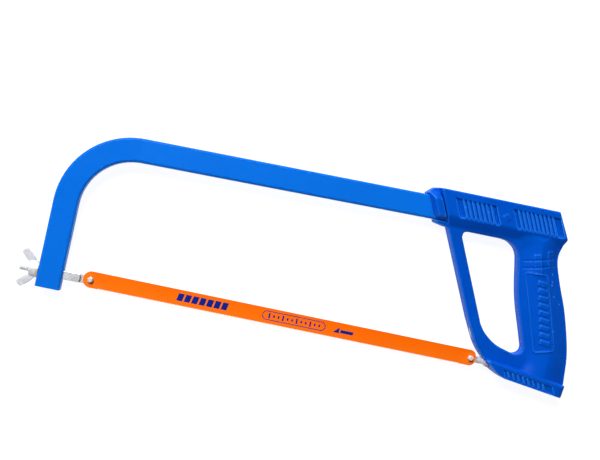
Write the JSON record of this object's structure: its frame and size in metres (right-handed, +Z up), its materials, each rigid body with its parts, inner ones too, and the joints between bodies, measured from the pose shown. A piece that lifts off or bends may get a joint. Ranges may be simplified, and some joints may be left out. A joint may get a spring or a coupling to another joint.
{
  "type": "hacksaw",
  "caption": "Hacksaw with a bent rectangular tube frame, a D-shaped plastic handle, a wing nut tensioner and a fitted orange 12 inch blade.",
  "frame": {"origin": "centre of the saw's bounding box, on the surface that it lies on", "axes": "+X along the blade from the nose to the handle; +Y from the blade to the spine; +Z up, towards the left side of the saw"},
  "size_m": [0.4325, 0.1442, 0.024],
  "materials": {
    "tube_blue": "satin",
    "handle_blue": "gloss",
    "blade_orange": "satin",
    "zinc_steel": "polished"
  },
  "bodies": {
    "frame": {"frame_tube": "tube_blue", "leg_end_plug": "tube_blue", "handle_left_shell": "handle_blue", "handle_right_shell": "handle_blue", "handle_screws": "zinc_steel", "anchor_plate": "zinc_steel", "anchor_rivets": "zinc_steel", "nut_washer": "zinc_steel", "rear_blade_holder": "zinc_steel", "rear_holder_rivet": "zinc_steel", "rear_blade_pin": "zinc_steel"},
    "tensioner": {"tension_stud": "zinc_steel", "front_blade_pin": "zinc_steel"},
    "wing_nut": {"wing_nut": "zinc_steel"},
    "blade": {"blade": "blade_orange"}
  },
  "joints": [
    {"name": "wing_nut_spin", "type": "hinge", "parent": "frame", "child": "wing_nut", "pos_m": [-0.2054, -0.0561, 0.012], "axis": [-1, 0, 0], "range_deg": [0, 2160]},
    {"name": "tension_slide", "type": "slide", "parent": "frame", "child": "tensioner", "axis": [1, 0, 0], "range_m": [0, 0.0061]},
    {"name": "blade_lift", "type": "slide", "parent": "frame", "child": "blade", "axis": [0, 0, 1], "range_m": [0, 0.0284]}
  ],
  "couplings": [
    {"joint": "tension_slide", "follows": "wing_nut_spin", "m_per_rad": 0.00015915},
    {"joint": "blade_lift", "follows": "wing_nut_spin", "m_per_rad": 0.00074876}
  ]
}
